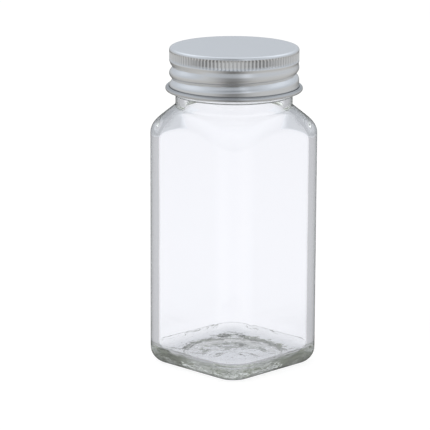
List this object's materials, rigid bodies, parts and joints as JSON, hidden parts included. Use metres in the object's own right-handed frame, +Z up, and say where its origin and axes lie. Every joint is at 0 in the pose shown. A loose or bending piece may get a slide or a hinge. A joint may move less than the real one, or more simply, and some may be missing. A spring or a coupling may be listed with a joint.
{
  "type": "spice jar",
  "caption": "Square clear glass spice jar with rounded corners, sloping round shoulders and a knurled metal screw cap.",
  "frame": {"origin": "centre of the ring the jar stands on", "axes": "+Z is up along the jar's axis; the square body's faces are square to X and Y"},
  "size_m": [0.0464, 0.0464, 0.11],
  "materials": {
    "clear_glass": "clear moulded flint glass, smooth, with a faint grey-green cast where it is thick",
    "cap_metal": "satin rolled metal with fine marks round the skirt, flutes and a bright curled lip",
    "liner_foam": "white foamed sealing disc"
  },
  "bodies": {
    "jar": {"glass_jar": "clear_glass"},
    "liner": {"cap_liner": "liner_foam"},
    "cap": {"screw_cap": "cap_metal"}
  },
  "joints": [
    {"name": "cap_rise", "type": "slide", "parent": "jar", "child": "liner", "axis": [0, 0, 1], "range_m": [0, 0.0191]},
    {"name": "cap_turn", "type": "hinge", "parent": "liner", "child": "cap", "pos_m": [0, 0, 0.1], "axis": [0, 0, 1], "range_deg": [0, 1620]}
  ],
  "couplings": [
    {"joint": "cap_rise", "follows": "cap_turn", "m_per_rad": 0.0006737}
  ]
}
